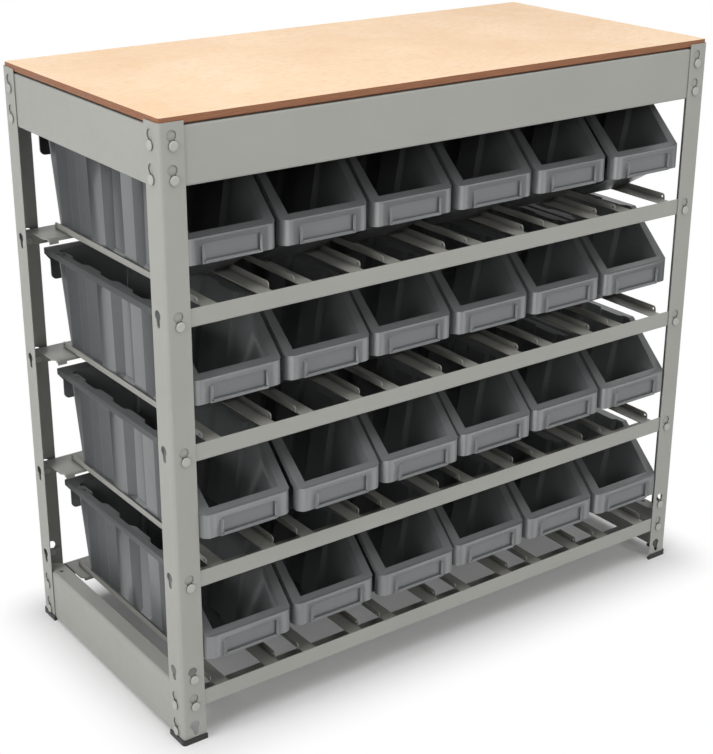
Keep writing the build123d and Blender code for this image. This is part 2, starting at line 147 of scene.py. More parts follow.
class Finish:
    """A material under construction: short ways to add and join its nodes."""

    def __init__(self, name):
        self.material = bpy.data.materials.new(name)
        self.material.use_nodes = True
        self.tree = self.material.node_tree
        self.shader = self.tree.nodes["Principled BSDF"]
        self.place = self.node("ShaderNodeTexCoord").outputs["Object"]

    def node(self, kind, **sockets):
        made = self.tree.nodes.new(kind)
        for socket, value in sockets.items():
            self.put(made.inputs[socket.replace("_", " ")], value)
        return made

    def put(self, socket, value):
        if isinstance(value, bpy.types.NodeSocket):
            self.tree.links.new(value, socket)
        else:
            socket.default_value = value

    def noise(self, scale, detail=2.0, roughness=0.5, stretch=None):
        """Noise on object coordinates; stretch flattens it along the axes."""
        place = self.place
        if stretch:
            mapping = self.node("ShaderNodeMapping", Vector=place)
            mapping.inputs["Scale"].default_value = stretch
            place = mapping.outputs[0]
        made = self.node("ShaderNodeTexNoise", Vector=place, Scale=scale, Detail=detail,
                         Roughness=roughness)
        return made.outputs["Fac"]

    def spread(self, value, low, high, start=0.3, end=0.7):
        made = self.node("ShaderNodeMapRange", Value=value)
        for index, number in ((1, start), (2, end), (3, low), (4, high)):
            made.inputs[index].default_value = number
        return made.outputs[0]

    def blend(self, share, first, second):
        made = self.tree.nodes.new("ShaderNodeMix")
        made.data_type = "RGBA"
        for index, value in ((0, share), (6, first), (7, second)):
            self.put(made.inputs[index], value)
        return made.outputs[2]

    def bump(self, height, distance, strength=1.0, under=None):
        made = self.node("ShaderNodeBump", Height=height, Distance=distance, Strength=strength)
        if under is not None:
            self.put(made.inputs["Normal"], under)
        return made.outputs[0]

    def with_crevice_shade(self, colour, reach, share):
        """The colour with painted shade, darker where surfaces meet closely."""
        gap = self.node("ShaderNodeAmbientOcclusion", Distance=reach)
        gap.samples = 6
        open_share = self.spread(gap.outputs["AO"], 1.0, 0.0, 0.35, 0.95)
        shade_amount = self.node("ShaderNodeMath", Value=open_share)
        shade_amount.operation = "MULTIPLY"
        shade_amount.inputs[1].default_value = share
        return self.blend(shade_amount.outputs[0], colour, CREVICE_SHADE)

    def set(self, **sockets):
        for socket, value in sockets.items():
            self.put(self.shader.inputs[socket.replace("_", " ")], value)
        return self.material


def rgb(red, green, blue):
    """A colour as it looks on screen, 0 to 255, as a linear shader colour."""
    linear = [(v / 255 / 12.92) if v < 10 else ((v / 255 + 0.055) / 1.055) ** 2.4
              for v in (red, green, blue)]
    return (*linear, 1)


def shade(tone, factor):
    """A colour made lighter or darker."""
    return tuple(min(1, v * factor) for v in tone[:3]) + (1,)


def powder_coat(name, tone, roughness):
    """Baked powder paint: orange-peel bump, the faintest clouding, and painted shade where
    surfaces meet closely.
    """
    coat = Finish(name)
    cloud = coat.spread(coat.noise(CLOUD_SCALE, 3), 0, 1)
    speckle = coat.spread(coat.noise(GRAIN_SCALE, 1), 0, 1, 0.35, 0.65)
    base = coat.blend(cloud, shade(tone, 0.93), tone)
    base = coat.blend(coat.spread(speckle, 0, 0.5, 0, 1), base, shade(tone, 1.07))
    peel = coat.bump(coat.noise(PEEL_SCALE, 2), 0.00012, 0.35)
    peel = coat.bump(coat.noise(GRAIN_SCALE, 1), 0.00004, 0.4, peel)
    shine = coat.spread(coat.noise(60, 3), roughness - 0.05, roughness + 0.06)
    # Painted shade: the coat darkens where surfaces meet closely, going by ambient occlusion.
    base = coat.with_crevice_shade(base, CREVICE_REACH, CREVICE_SHADE_SHARE)
    return coat.set(Base_Color=base, Roughness=shine, Normal=peel, IOR=1.5)


def moulded_plastic(name, tone, roughness, gloss=0.5):
    """Injection-moulded plastic: fine grain, flow clouding, light rub marks."""
    coat = Finish(name)
    flow = coat.spread(coat.noise(14, 4, 0.6, (1, 1, 0.35)), 0, 1)
    base = coat.blend(flow, shade(tone, 0.95), shade(tone, 1.05))
    rubs = coat.spread(coat.noise(90, 2, 0.5, (1, 0.08, 1)), 0, 0.3, 0.62, 0.8)
    base = coat.blend(rubs, base, shade(tone, 1.18))
    grain = coat.bump(coat.noise(PLASTIC_GRAIN, 1), 0.00004, 0.35)
    waves = coat.bump(coat.noise(12, 1), 0.0004, 0.1, grain)
    shine = coat.spread(coat.noise(30, 2), roughness - 0.02, roughness + 0.04)
    return coat.set(Base_Color=base, Roughness=shine, Normal=waves, IOR=1.5,
                    Specular_IOR_Level=gloss)


def fibre_board(name):
    """Sealed pale hardboard: clouded face, short fibres, brown edge, dull underside."""
    coat = Finish(name)
    face = coat.blend(coat.spread(coat.noise(5, 4), 0, 1), rgb(228, 194, 156),
                      rgb(240, 211, 178))
    fibres = coat.spread(coat.noise(260, 3, 0.6, (0.35, 1, 1)), 0, 0.5, 0.45, 0.7)
    face = coat.blend(fibres, face, rgb(214, 172, 126))
    flecks = coat.spread(coat.noise(900, 1), 0, 0.5, 0.66, 0.74)
    face = coat.blend(flecks, face, rgb(176, 128, 86))
    layers = coat.spread(coat.noise(30, 3, 0.6, (1, 1, 55)), 0, 1)
    edge = coat.blend(layers, rgb(118, 72, 44), rgb(158, 104, 68))
    normal = coat.node("ShaderNodeNewGeometry").outputs["Normal"]
    up = coat.node("ShaderNodeSeparateXYZ", Vector=normal).outputs["Z"]
    top_side = coat.spread(up, 0, 1, 0.75, 0.9)
    underside = coat.spread(up, 1, 0, -0.9, -0.75)
    edge = coat.blend(underside, edge, rgb(84, 76, 69))
    fuzz = coat.bump(coat.noise(700, 2), 0.00006, 0.4)
    shine = coat.spread(coat.noise(25, 3), 0.42, 0.56)
    return coat.set(Base_Color=coat.blend(top_side, edge, face), Roughness=shine, Normal=fuzz)


FRAME_STEEL = powder_coat("frame powder coat", rgb(164, 164, 158), 0.42)
RAIL_STEEL = powder_coat("rail powder coat", rgb(152, 151, 145), 0.34)
RIVET_STEEL = powder_coat("rivet powder coat", rgb(180, 180, 174), 0.4)
BIN_PLASTIC = moulded_plastic("bin plastic", rgb(109, 111, 112), 0.3, 0.7)
# The pressed panels' slopes: a rougher grain, and a darker tone that is painted shade.
BIN_PAINTED_SHADE_GRAIN = moulded_plastic("bin plastic grained panel", rgb(77, 79, 81), 0.42)
FOOT_PLASTIC = moulded_plastic("foot plastic", rgb(34, 34, 34), 0.4)
BOARD_FACE = fibre_board("fibre board")


# ---- making and joining meshes ------------------------------------------
def new_object(name, mesh):
    made = bpy.data.objects.new(name, mesh)
    bpy.context.scene.collection.objects.link(made)
    return made


def prism(axis, outline, low, high):
    """A closed outline pulled along an axis; it is given in the other two axes."""
    spots = {"x": lambda u, v, w: (w, u, v), "y": lambda u, v, w: (u, w, v),
             "z": lambda u, v, w: (u, v, w)}[axis]
    shape = bmesh.new()
    ends = [[shape.verts.new(spots(u, v, w)) for u, v in outline] for w in (low, high)]
    shape.faces.new(ends[0])
    shape.faces.new(ends[1][::-1])
    for i in range(len(outline)):
        j = (i + 1) % len(outline)
        shape.faces.new((ends[0][j], ends[0][i], ends[1][i], ends[1][j]))
    bmesh.ops.recalc_face_normals(shape, faces=shape.faces)
    mesh = bpy.data.meshes.new("prism")
    shape.to_mesh(mesh)
    shape.free()
    return new_object("prism", mesh)


def block(x0, x1, y0, y1, z0, z1):
    """A box between two corners."""
    low_x, high_x = sorted((x0, x1))
    return prism("z", [(low_x, min(y0, y1)), (high_x, min(y0, y1)), (high_x, max(y0, y1)),
                       (low_x, max(y0, y1))], min(z0, z1), max(z0, z1))


def arc(centre, radius, start, end, steps):
    """Points on an arc, angles in degrees."""
    turn = [math.radians(start + (end - start) * i / steps) for i in range(steps + 1)]
    return [(centre[0] + radius * math.cos(a), centre[1] + radius * math.sin(a)) for a in turn]


def folded(points, thickness, bend, steps=5):
    """The closed outline of a sheet whose middle runs along the points, bent round."""
    points = [Vector(p) for p in points]
    path = [points[0]]
    for before, here, after in zip(points, points[1:], points[2:]):
        back, on = (before - here).normalized(), (after - here).normalized()
        half = back.angle(on) / 2
        middle = here + (back + on).normalized() * bend / math.sin(half)
        start, stop = here + back * bend / math.tan(half), here + on * bend / math.tan(half)
        for i in range(steps + 1):
            share = i / steps
            sweep = (start - middle).slerp(stop - middle, share)
            path.append(middle + sweep.normalized() * bend)
    path.append(points[-1])
    sides = ([], [])
    for i, here in enumerate(path):
        ahead = path[min(i + 1, len(path) - 1)] - path[max(i - 1, 0)]
        normal = Vector((-ahead.y, ahead.x)).normalized() * thickness / 2
        sides[0].append(tuple(here + normal))
        sides[1].append(tuple(here - normal))
    return sides[0] + sides[1][::-1]


def baked(thing):
    """The mesh that an object's modifiers make."""
    graph = bpy.context.evaluated_depsgraph_get()
    return bpy.data.meshes.new_from_object(thing.evaluated_get(graph))


def settle(thing):
    """Applies an object's modifiers."""
    mesh = baked(thing)
    thing.modifiers.clear()
    old, thing.data = thing.data, mesh
    bpy.data.meshes.remove(old)
    return thing


def combine(thing, others, operation):
    """Adds the others to a solid, or cuts them from it."""
    for other in others:
        step = thing.modifiers.new(operation, "BOOLEAN")
        step.operation, step.solver, step.object = operation, "EXACT", other
        settle(thing)
        bpy.data.objects.remove(other)
    return thing


def add(thing, *others):
    return combine(thing, others, "UNION")


def cut(thing, *others):
    return combine(thing, others, "DIFFERENCE")


def together(*things):
    """Several loose shells as one mesh."""
    shape = bmesh.new()
    for thing in things:
        shape.from_mesh(thing.data)
    mesh = bpy.data.meshes.new(things[0].name)
    shape.to_mesh(mesh)
    shape.free()
    for thing in things:
        bpy.data.objects.remove(thing)
    return new_object("shells", mesh)


def soften(thing, width, segments=2, angle=38):
    """Merges flat faces and rounds the sharp edges a little."""
    shape = bmesh.new()
    shape.from_mesh(thing.data)
    bmesh.ops.remove_doubles(shape, verts=shape.verts, dist=0.01)
    bmesh.ops.dissolve_limit(shape, angle_limit=math.radians(1), verts=shape.verts,
                             edges=shape.edges)
    shape.to_mesh(thing.data)
    shape.free()
    step = thing.modifiers.new("edges", "BEVEL")
    step.width, step.segments, step.limit_method = width, segments, "ANGLE"
    step.angle_limit = math.radians(angle)
    step.use_clamp_overlap = True
    return settle(thing)


def place(thing, name, material, slot, body, *nodes, shift=(0, 0, 0), smooth=32):
    """Moves a finished piece to its place in metres and hands it to its body."""
    thing.name = thing.data.name = name
    move = Matrix.Translation((shift[0], shift[1] + RACK_Y, shift[2]))
    thing.data.transform(Matrix.Scale(MM, 4) @ move)
    thing.data.shade_smooth()
    thing.data.set_sharp_from_angle(angle=math.radians(smooth))
    if list(thing.data.materials) != [BIN_PLASTIC, BIN_PAINTED_SHADE_GRAIN]:
        thing.data.materials.clear()
        thing.data.materials.append(material)
    step = thing.modifiers.new("flats", "WEIGHTED_NORMAL")
    step.keep_sharp, step.weight = True, 60
    settle(thing)
    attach(thing, body)
    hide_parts(*nodes)
    return thing


# ---- posts and feet -----------------------------------------------------
def keyhole_outline(across, height, lean):
    """A rivet seat that opens into a round mouth above it, to one side."""
    up = math.degrees(math.atan2(KEY_RISE, lean))
    mouth = (across + lean, height + KEY_RISE)
    upper = arc(mouth, KEY_R, up - 180 + MOUTH_OPENING, up + 180 - MOUTH_OPENING, 20)
    lower = arc((across, height), SEAT_R * 0.9, up + 90, up + 270, 9)
    return upper + lower


def post(name, sx, sy):
    """A corner post, punched with keyholes at every rivet on both faces."""
    ox, oy = sx * HALF_W, sy * HALF_D
    middle = SHEET / 2
    run = [(ox - sx * LEG, oy - sy * middle), (ox - sx * middle, oy - sy * middle),
           (ox - sx * middle, oy - sy * LEG)]
    angle = prism("z", folded(run, SHEET, POST_BEND - middle, 8), SOLE, POST_TOP)
    heights = [FOOT_RIVET, LUG_RIVET, *ROW_RIVETS, *TOP_RIVETS]
    holes = []
    for z in heights:
        outline = keyhole_outline(sx * (HALF_W - HOLE_INSET), z, FRONT_LEAN)
        holes.append(prism("y", outline, oy - 3 * SHEET, oy + 3 * SHEET))
        outline = keyhole_outline(sy * (HALF_D - HOLE_INSET), z, SIDE_LEAN)
        holes.append(prism("x", outline, ox - 3 * SHEET, ox + 3 * SHEET))
    cut(angle, together(*holes))
    soften(angle, EDGE_ROUND)
    place(angle, "angle_" + name, FRAME_STEEL, "frame_steel", "frame", "post_" + name)


def cap(name):
    """The moulded shoe under a post, with its edges rounded."""
    shoe = new_object("cap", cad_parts["foot_cap_" + name].data.copy())
    shoe.data.transform(Matrix.Translation((0, -RACK_Y, 0)) @ Matrix.Scale(1 / MM, 4))
    soften(shoe, 0.5, 3)
    place(shoe, "shoe_" + name, FOOT_PLASTIC, "foot_plastic", "frame", "foot_cap_" + name)


for y_name, sy in (("front", -1), ("rear", 1)):
    for x_name, sx in (("left", -1), ("right", 1)):
        post(f"{y_name}_{x_name}", sx, sy)
        cap(f"{y_name}_{x_name}")


# ---- beams --------------------------------------------------------------
def trim_ends(beam, along, half, reach, z0, z1, chamfer=0.0):
    """Cuts a flange back at both ends; reach is its span across the beam."""
    near, far = reach
    for side in (-1, 1):
        a, b = side * half, side * (half + 60)
        if chamfer:
            corner = side * (half - chamfer)
            tip = far - math.copysign(chamfer, far - near)
            outline = [(a, near), (a, tip), (corner, far), (corner, far + (far - near)),
                       (b, far + (far - near)), (b, near)]
        else:
            outline = [(a, near), (a, far + (far - near)), (b, far + (far - near)), (b, near)]
        if along == "y":
            outline = [(v, u) for u, v in outline]
        cut(beam, prism("z", outline, z0, z1))


def row_beam(row, sy):
    """The beam in front of a row of bins, or behind it."""
    top, lowest = ROW_TOPS[row], row == ROWS - 1
    middle, half = SHEET / 2, HALF_W - FACE_SETBACK
    y = sy * (FRONT_IN - middle)
    setback = LOW_SETBACK if lowest else CLEAR_SETBACK if sy < 0 else SHELF_SETBACK
    shelf_half = HALF_W - setback
    inner = sy * (FRONT_IN - SHEET)
    if sy < 0:
        low, high = top - BEAM_FACE, top
        end = sy * (FRONT_IN - FRONT_SHELF)
        run = [(y, high), (y, low + middle), (end, low + middle)]
        span = (low - 1, low + BEAM_BEND + 0.5)
    else:
        high = top - RAIL_SHEET
        low = high - BEAM_FACE
        end = sy * (FRONT_IN - REAR_SHELF)
        lip = end + sy * middle
        run = [(y, low), (y, high - middle), (lip, high - middle), (lip, high - REAR_LIP)]
        span = (high - REAR_LIP - 1, high + 1)
    beam = prism("x", folded(run, SHEET, BEAM_BEND - middle, 4), -half, half)
    trim_ends(beam, "x", shelf_half, (inner, end), *span, chamfer=BEAM_CHAMFER)
    if sy > 0 and not lowest:
        for side in (-1, 1):
            tab = side * (shelf_half - TAB_INSET)
            beam = add(beam, block(tab, tab - side * TAB_WIDTH, end + 0.01, end + SHEET - 0.01,
                                   high - REAR_LIP - TAB_DROP, high - REAR_LIP + 0.5))
    if lowest:
        for side in (-1, 1):
            x_in = side * (HALF_W - LEG + LUG_INSET)
            beam = add(beam, block(side * half, x_in, sy * FRONT_IN, inner, low + LUG_RISE,
                                   LUG_TOP))
    soften(beam, EDGE_ROUND)
    end_name = "front" if sy < 0 else "rear"
    place(beam, f"shelf_edge_{end_name}_{row + 1}", FRAME_STEEL, "frame_steel", "frame",
          f"row_beam_{end_name}_{row + 1}")


def top_beam_long(sy, name):
    """The deep beam under the board's front or rear edge."""
    half, middle = HALF_W - FACE_SETBACK, SHEET / 2
    y, low = sy * (FRONT_IN - middle), BOARD_SEAT - DEEP_BEAM
    run = [(sy * (FRONT_IN - TOP_FLANGE), BOARD_SEAT - middle), (y, BOARD_SEAT - middle),
           (y, low + middle), (sy * (FRONT_IN - LOW_FLANGE), low + middle)]
    beam = prism("x", folded(run, SHEET, BEAM_BEND - middle, 4), -half, half)
    inner = sy * (FRONT_IN - SHEET)
    trim_ends(beam, "x", HALF_W - LEG - 1, (inner, sy * (FRONT_IN - LOW_FLANGE - 5)),
              low - 1, low + BEAM_BEND + 0.5)
    soften(beam, EDGE_ROUND)
    place(beam, "apron_" + name, FRAME_STEEL, "frame_steel", "frame", "top_beam_" + name)


def side_beam(sx, name, upper):
    """The deep beams at the sides: a channel at the top, an angle at the foot."""
    half, middle = HALF_D - SIDE_END, SHEET / 2
    x = sx * (SIDE_IN - middle)
    flange = sx * (SIDE_IN - TOP_FLANGE)
    if upper:
        low, high = BOARD_SEAT - DEEP_BEAM, BOARD_SEAT
        run = [(flange, high - middle), (x, high - middle), (x, low + middle),
               (sx * (SIDE_IN - LOW_FLANGE), low + middle)]
        beam = prism("y", folded(run, SHEET, BEAM_BEND - middle, 4), -half, half)
        reach = (sx * (SIDE_IN - SHEET), sx * (SIDE_IN - TOP_FLANGE - 5))
        shelf_half = FRONT_IN - TOP_FLANGE - 1
        trim_ends(beam, "y", shelf_half, reach, low - 1, low + BEAM_BEND + 0.5)
        trim_ends(beam, "y", shelf_half, reach, high - BEAM_BEND - 0.5, high + 1)
    else:
        low, high = SIDE_BEAM_BOTTOM, SIDE_BEAM_TOP
        run = [(flange, high - middle), (x, high - middle), (x, low)]
        beam = prism("y", folded(run, SHEET, SIDE_BEND - middle, 6), -half, half)
        for side in (-1, 1):
            tip, past = flange + sx * CORNER_CUT, flange - sx * 5
            corner = [(tip, side * half), (flange, side * (half - CORNER_CUT)),
                      (past, side * (half - CORNER_CUT)), (past, side * (half + 5)),
                      (tip, side * (half + 5))]
            cut(beam, prism("z", corner, high - SIDE_BEND, high + 1))
            spot = (flange + sx * TOP_FLANGE / 2, side * (half - FLANGE_HOLE_INSET))
            hole = arc(spot, FLANGE_HOLE_R, 0, 345, 23)
            cut(beam, prism("z", hole, high - SIDE_BEND, high + 1))
    soften(beam, EDGE_ROUND)
    kind = "top" if upper else "bottom"
    place(beam, f"{kind}_cheek_{name}", FRAME_STEEL, "frame_steel", "frame",
          f"{kind}_beam_{name}")


for y_name, sy in (("front", -1), ("rear", 1)):
    top_beam_long(sy, y_name)
    for row in range(ROWS):
        row_beam(row, sy)
for x_name, sx in (("left", -1), ("right", 1)):
    side_beam(sx, x_name, True)
    side_beam(sx, x_name, False)


# ---- geometry node trees ------------------------------------------------
class Tree:
    """A geometry node tree with named inputs, ending in a realised, painted mesh."""

    def __init__(self, name, **inputs):
        self.tree = bpy.data.node_groups.new(name, "GeometryNodeTree")
        face = self.tree.interface
        self.sockets = {}
        for label, kind in inputs.items():
            made = face.new_socket(name=label, in_out="INPUT", socket_type="NodeSocket" + kind)
            self.sockets[label] = made.identifier
        made = face.new_socket(name="Material", in_out="INPUT", socket_type="NodeSocketMaterial")
        self.sockets["Material"] = made.identifier
        face.new_socket(name="Geometry", in_out="OUTPUT", socket_type="NodeSocketGeometry")
        self.given = self.tree.nodes.new("NodeGroupInput").outputs

    def node(self, kind, settings=(), **sockets):
        made = self.tree.nodes.new(kind)
        for key, value in settings:
            setattr(made, key, value)
        for socket, value in sockets.items():
            self.put(made.inputs[socket.replace("_", " ")], value)
        return made

    def put(self, socket, value):
        if isinstance(value, bpy.types.NodeSocket):
            self.tree.links.new(value, socket)
        else:
            socket.default_value = value

    def finish(self, geometry):
        real = self.node("GeometryNodeRealizeInstances", Geometry=geometry)
        paint = self.node("GeometryNodeSetMaterial", Geometry=real.outputs[0],
                          Material=self.given["Material"])
        out = self.tree.nodes.new("NodeGroupOutput")
        self.tree.links.new(paint.outputs[0], out.inputs["Geometry"])

    def run(self, base, **values):
        """Runs the tree on an object and keeps the result as a plain mesh."""
        step = base.modifiers.new(self.tree.name, "NODES")
        step.node_group = self.tree
        for label, value in values.items():
            step[self.sockets[label]] = value
        return settle(base)


def rivet_tree():
    """A rounded head, a shank and a flat tail on every point, along its facing."""
    made = Tree("rivets", Head_radius="Float", Head_height="Float", Shank_radius="Float",
                Grip="Float", Tail_radius="Float", Tail_height="Float")
    given = made.given

    def puck(radius, height, middle):
        disc = made.node("GeometryNodeMeshCylinder", [("fill_type", "TRIANGLE_FAN")],
                         Vertices=20, Side_Segments=2, Fill_Segments=2, Radius=radius,
                         Depth=height)
        soft = made.node("GeometryNodeSubdivisionSurface", Mesh=disc.outputs[0], Level=1)
        return made.node("GeometryNodeTransform", Geometry=soft.outputs[0], Translation=middle)

    def along(value):
        return made.node("ShaderNodeCombineXYZ", Z=value).outputs[0]

    def half(value, sign=0.5, offset=None):
        scaled = made.node("ShaderNodeMath", [("operation", "MULTIPLY")])
        made.put(scaled.inputs[0], value)
        scaled.inputs[1].default_value = sign
        if offset is None:
            return scaled.outputs[0]
        total = made.node("ShaderNodeMath", [("operation", "SUBTRACT")])
        made.put(total.inputs[0], scaled.outputs[0])
        made.put(total.inputs[1], offset)
        return total.outputs[0]

    head = puck(given["Head_radius"], given["Head_height"], along(half(given["Head_height"])))
    shank = made.node("GeometryNodeMeshCylinder", [("fill_type", "NGON")], Vertices=20,
                      Radius=given["Shank_radius"], Depth=given["Grip"])
    shank = made.node("GeometryNodeTransform", Geometry=shank.outputs[0],
                      Translation=along(half(given["Grip"], -0.5)))
    tail = puck(given["Tail_radius"], given["Tail_height"],
                along(half(given["Tail_height"], -0.5, given["Grip"])))
    whole = made.tree.nodes.new("GeometryNodeJoinGeometry")
    for part in (head, shank, tail):
        made.tree.links.new(part.outputs[0], whole.inputs[0])
    spots = made.node("GeometryNodeInputNamedAttribute", [("data_type", "FLOAT_VECTOR")],
                      Name="facing")
    turn = made.node("FunctionNodeAlignRotationToVector", [("axis", "Z")],
                     Vector=spots.outputs[0])
    points = made.tree.interface.new_socket(name="Points", in_out="INPUT",
                                            socket_type="NodeSocketGeometry")
    made.tree.interface.move(points, 0)
    placed = made.node("GeometryNodeInstanceOnPoints", Points=given["Points"],
                       Instance=whole.outputs[0], Rotation=turn.outputs[0])
    made.finish(placed.outputs[0])
    return made


def rivets(tree, name, spots):
    """The rivets of one side, from (place, facing) pairs."""
    mesh = bpy.data.meshes.new("spots")
    mesh.from_pydata([spot for spot, _ in spots], [], [])
    facing = mesh.attributes.new("facing", "FLOAT_VECTOR", "POINT")
    for i, (_, way) in enumerate(spots):
        facing.data[i].vector = way
    base = new_object("spots", mesh)
    tree.run(base, Head_radius=HEAD_R, Head_height=HEAD_HEIGHT, Shank_radius=SHANK_R,
             Grip=2 * SHEET, Tail_radius=TAIL_R, Tail_height=TAIL_HEIGHT, Material=RIVET_STEEL)
    place(base, "studs_" + name, RIVET_STEEL, "rivet_steel", "frame", "rivets_" + name,
          smooth=40)


rivet_maker = rivet_tree()
across, along_y = HALF_W - HOLE_INSET, HALF_D - HOLE_INSET
for y_name, sy in (("front", -1), ("rear", 1)):
    heights = (*ROW_RIVETS, LUG_RIVET, *TOP_RIVETS)
    rivets(rivet_maker, y_name, [((side * across, sy * HALF_D, z), (0, sy, 0))
                                 for side in (-1, 1) for z in heights])
heights = (FOOT_RIVET, BOTTOM_RIVET, *TOP_RIVETS)
rivets(rivet_maker, "sides", [((sx * HALF_W, side * along_y, z), (sx, 0, 0))
                              for sx in (-1, 1) for side in (-1, 1) for z in heights])


# ---- rails --------------------------------------------------------------
def rail(side):
    """A guide angle beside a bin: round-ended upright, flat base, turned-down tab."""
    inner = side * RAIL_GAUGE / 2
    outer = inner + side * RAIL_SHEET
    free, kept = outer - side * RAIL_BASE, outer - side * 1.6
    beam_back = -(FRONT_IN - SHEET)
    middle = RAIL_SHEET / 2
    run = [(inner + side * middle, RAIL_HEIGHT), (inner + side * middle, middle),
           (free, middle)]
    angle = prism("y", folded(run, RAIL_SHEET, RAIL_BEND, 3), RAIL_FRONT, RAIL_BACK)
    near, far = sorted((inner - side * 0.5, outer + side * 0.5))
    height, top = RAIL_HEIGHT - RAIL_ROUND, RAIL_HEIGHT + 1
    for y, way in ((RAIL_FRONT, -1), (RAIL_BACK, 1)):
        centre = (y - way * RAIL_ROUND, height)
        outline = arc(centre, RAIL_ROUND, 90, 180 if way < 0 else 0, 6)
        outline += [(y + way, height), (y + way, top), (y - way * RAIL_ROUND, top)]
        cut(angle, prism("x", outline, near, far))
        cut(angle, prism("x", arc(centre, RAIL_HOLE_R, 0, 337.5, 15), near, far))
    tab = block(free, kept, beam_back + 0.02, RAIL_FRONT + 0.5, 0.01, RAIL_SHEET - 0.01)
    drop = block(free, kept, beam_back + 0.02, beam_back + RAIL_SHEET, -RAIL_TAB, RAIL_SHEET)
    add(angle, tab, drop)
    soften(angle, RAIL_EDGE)
    return angle


def rail_tree():
    """Copies a left and a right rail to every bin of a row."""
    made = Tree("rails", Bins="Int", Pitch="Float", Start="Vector", Left_rail="Object",
                Right_rail="Object")
    given = made.given
    step = made.node("ShaderNodeCombineXYZ", X=given["Pitch"])
    line = made.node("GeometryNodeMeshLine", Count=given["Bins"],
                     Start_Location=given["Start"], Offset=step.outputs[0])
    whole = made.tree.nodes.new("GeometryNodeJoinGeometry")
    for label in ("Left_rail", "Right_rail"):
        part = made.node("GeometryNodeObjectInfo", Object=given[label])
        placed = made.node("GeometryNodeInstanceOnPoints", Points=line.outputs[0],
                           Instance=part.outputs["Geometry"])
        made.tree.links.new(placed.outputs[0], whole.inputs[0])
    made.finish(whole.outputs[0])
    return made


rail_maker = rail_tree()
left_rail, right_rail = rail(-1), rail(1)
for row in range(ROWS):
    base = new_object("row", bpy.data.meshes.new("row"))
    start = Vector((CENTRES[0], 0, ROW_TOPS[row] - RAIL_SHEET))
    rail_maker.run(base, Bins=COLUMNS, Pitch=BIN_PITCH, Start=start, Left_rail=left_rail,
                   Right_rail=right_rail, Material=RAIL_STEEL)
    place(base, f"guides_row_{row + 1}", RAIL_STEEL, "rail_steel", "frame",
          f"rails_row_{row + 1}")
for template in (left_rail, right_rail):
    bpy.data.objects.remove(template)


# ---- worktop ------------------------------------------------------------
def board():
    """The worktop, with a shadow gap where it stands back above the beams."""
    def slab(inset, low, high):
        x = SIDE_IN - BOARD_PLAY - inset - BOARD_CORNER
        y = FRONT_IN - BOARD_PLAY - inset - BOARD_CORNER
        outline = []
        for sx, sy, start in ((1, 1, 0), (-1, 1, 90), (-1, -1, 180), (1, -1, 270)):
            outline += arc((sx * x, sy * y), BOARD_CORNER, start, start + 90, 6)
        return prism("z", outline, low, high)

    top = slab(0, BOARD_SEAT + BOARD_GAP, BOARD_SEAT + BOARD)
    add(top, slab(BOARD_STEP, BOARD_SEAT, BOARD_SEAT + BOARD_GAP + 1))
    soften(top, 0.6, 3)
    place(top, "board", BOARD_FACE, "worktop_board", "frame", "worktop")


board()


# ---- bins ---------------------------------------------------------------
def wall(z, inset=0.0):
    """Half the tub's width at a height."""
    return BASE_HALF + (TOP_HALF - BASE_HALF) * z / BIN_HEIGHT - inset


def stacked(rings, grain_and_painted_shade=()):
    """A solid through outlines at rising heights; some of its sides take the rougher plastic,
    darkened as painted shade.
    """
    shape = bmesh.new()
    rings = [[shape.verts.new(p) for p in ring] for ring in rings]
    count = len(rings[0])
    for a, b in zip(rings, rings[1:]):
        for i in range(count):
            j = (i + 1) % count
            side = shape.faces.new((a[i], a[j], b[j], b[i]))
            side.material_index = int(i in grain_and_painted_shade)
    shape.faces.new(rings[0])
    shape.faces.new(rings[-1][::-1])
    bmesh.ops.recalc_face_normals(shape, faces=shape.faces)
    mesh = bpy.data.meshes.new("solid")
    mesh.materials.append(BIN_PLASTIC)
    mesh.materials.append(BIN_PAINTED_SHADE_GRAIN)
    shape.to_mesh(mesh)
    shape.free()
    return new_object("solid", mesh)


def flute(side, rear, slope, flat, back, depth):
    """Cutter for a leaning panel pressed into a side wall.

    From its rear edge the wall slopes in over one width, runs flat, and comes back out.
    """
    rings = []
    for z, lean, share in ((8.0, 18.0, 0.02), (14.0, 17.3, 0.75), (148.5, 0.0, 1.0)):
        x, start, deep = wall(z), rear + lean, depth * share
        ring = [(x + 2, start + 0.5), (x, start), (x - deep, start - slope),
                (x - deep, start - slope - flat), (x, start - slope - flat - back),
                (x + 2, start - slope - flat - back - 0.5)]
        rings.append([(side * px, py, z) for px, py in ring])
    # The inward slope takes the darker, rougher plastic: painted shade.
    return stacked(rings, grain_and_painted_shade=(1,))


def bulge(side, rear, long, depth):
    """The pressed panel's other face, inside the bin, which widens the rim's inner edge."""
    rings = []
    for z, lean in ((1.5, 18.5), (BIN_HEIGHT - 0.05, 0.0)):
        x, start = wall(z, WALL) + 1.2, rear + lean
        ring = [(x, start), (x - depth - 1.2, start - 10), (x - depth - 1.2, start - long + 7),
                (x, start - long)]
        rings.append([(side * px, py, z) for px, py in ring])
    return stacked(rings)


